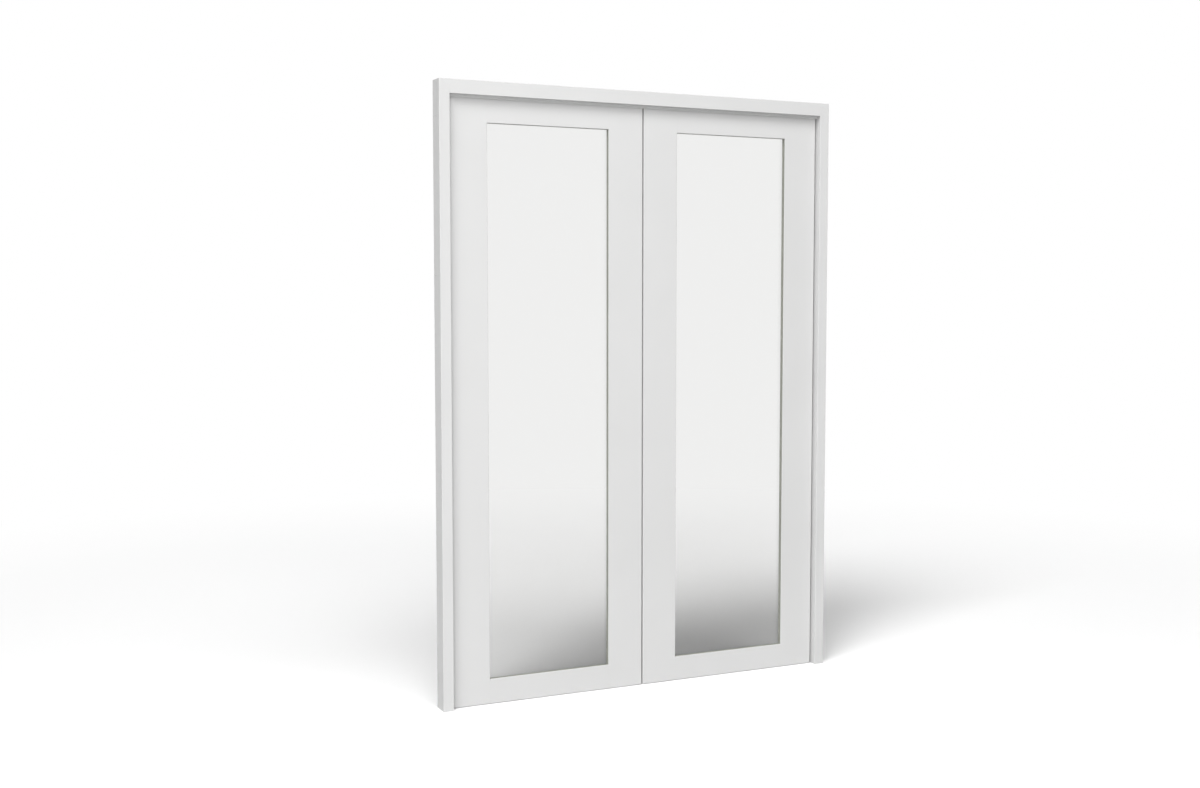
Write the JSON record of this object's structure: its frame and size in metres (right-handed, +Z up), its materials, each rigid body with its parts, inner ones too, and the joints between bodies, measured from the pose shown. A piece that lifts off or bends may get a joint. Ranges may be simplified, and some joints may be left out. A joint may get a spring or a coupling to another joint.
{
  "type": "french doors",
  "caption": "Pair of full-height glazed doors with slim flat white stiles and rails, hinged to open away from each other in a plain white frame.",
  "frame": {"origin": "floor level, midway across the frame's width and midway in depth between the frame's front face and the back of the hinge knuckles", "axes": "+Z up, +X to the right along the width, +Y from the front to the back, the side to which the leaves open"},
  "size_m": [1.512, 0.0775, 2.1],
  "materials": {
    "white_paint": "timber sprayed with smooth satin white paint",
    "glass": "clear float glass with a faint olive-grey tint",
    "seal": "matt olive-grey glazing seal",
    "setting_block": "black glazing block",
    "hinge_steel": "satin steel",
    "catch_steel": "satin steel",
    "spring_steel": "bright spring wire",
    "screw_steel": "zinc-plated steel"
  },
  "bodies": {
    "frame": {"jamb_left": "white_paint", "jamb_right": "white_paint", "head": "white_paint", "head_stop": "white_paint", "frame_screws": "screw_steel", "jamb_plate_screws": "screw_steel", "strike_screws": "screw_steel", "jamb_plate_bottom_left": "hinge_steel", "jamb_plate_middle_left": "hinge_steel", "jamb_plate_top_left": "hinge_steel", "jamb_plate_bottom_right": "hinge_steel", "jamb_plate_middle_right": "hinge_steel", "jamb_plate_top_right": "hinge_steel", "hinge_pin_bottom_left": "hinge_steel", "hinge_pin_middle_left": "hinge_steel", "hinge_pin_top_left": "hinge_steel", "hinge_pin_bottom_right": "hinge_steel", "hinge_pin_middle_right": "hinge_steel", "hinge_pin_top_right": "hinge_steel", "strike_plate_left": "hinge_steel", "strike_plate_right": "hinge_steel"},
    "leaf_left": {"hinge_stile_left": "white_paint", "meeting_stile_left": "white_paint", "top_rail_left": "white_paint", "bottom_rail_left": "white_paint", "glass_left": "glass", "glazing_seal_left": "seal", "setting_blocks_left": "setting_block", "bead_bottom_left": "white_paint", "bead_top_left": "white_paint", "bead_hinge_left": "white_paint", "bead_meeting_left": "white_paint", "leaf_plate_bottom_left": "hinge_steel", "leaf_plate_middle_left": "hinge_steel", "leaf_plate_top_left": "hinge_steel", "leaf_plate_screws_left": "screw_steel", "catch_barrel_left": "catch_steel", "catch_spring_left": "spring_steel"},
    "leaf_right": {"hinge_stile_right": "white_paint", "meeting_stile_right": "white_paint", "top_rail_right": "white_paint", "bottom_rail_right": "white_paint", "glass_right": "glass", "glazing_seal_right": "seal", "setting_blocks_right": "setting_block", "bead_bottom_right": "white_paint", "bead_top_right": "white_paint", "bead_hinge_right": "white_paint", "bead_meeting_right": "white_paint", "leaf_plate_bottom_right": "hinge_steel", "leaf_plate_middle_right": "hinge_steel", "leaf_plate_top_right": "hinge_steel", "leaf_plate_screws_right": "screw_steel", "catch_barrel_right": "catch_steel", "catch_spring_right": "spring_steel"},
    "bullet_left": {"catch_bullet_left": "catch_steel"},
    "bullet_right": {"catch_bullet_right": "catch_steel"}
  },
  "joints": [
    {"name": "leaf_left_hinge", "type": "hinge", "parent": "frame", "child": "leaf_left", "pos_m": [-0.7155, 0.03225, 0], "axis": [0, 0, 1], "range_deg": [0, 170]},
    {"name": "leaf_right_hinge", "type": "hinge", "parent": "frame", "child": "leaf_right", "pos_m": [0.7155, 0.03225, 0], "axis": [0, 0, -1], "range_deg": [0, 170]},
    {"name": "catch_left", "type": "slide", "parent": "leaf_left", "child": "bullet_left", "axis": [0, 0, 1], "range_m": [-0.005, 0.002], "stiffness_N_per_m": 1500, "springref_m": 0.012, "deforming": ["catch_spring_left"]},
    {"name": "catch_right", "type": "slide", "parent": "leaf_right", "child": "bullet_right", "axis": [0, 0, 1], "range_m": [-0.005, 0.002], "stiffness_N_per_m": 1500, "springref_m": 0.012, "deforming": ["catch_spring_right"]}
  ]
}
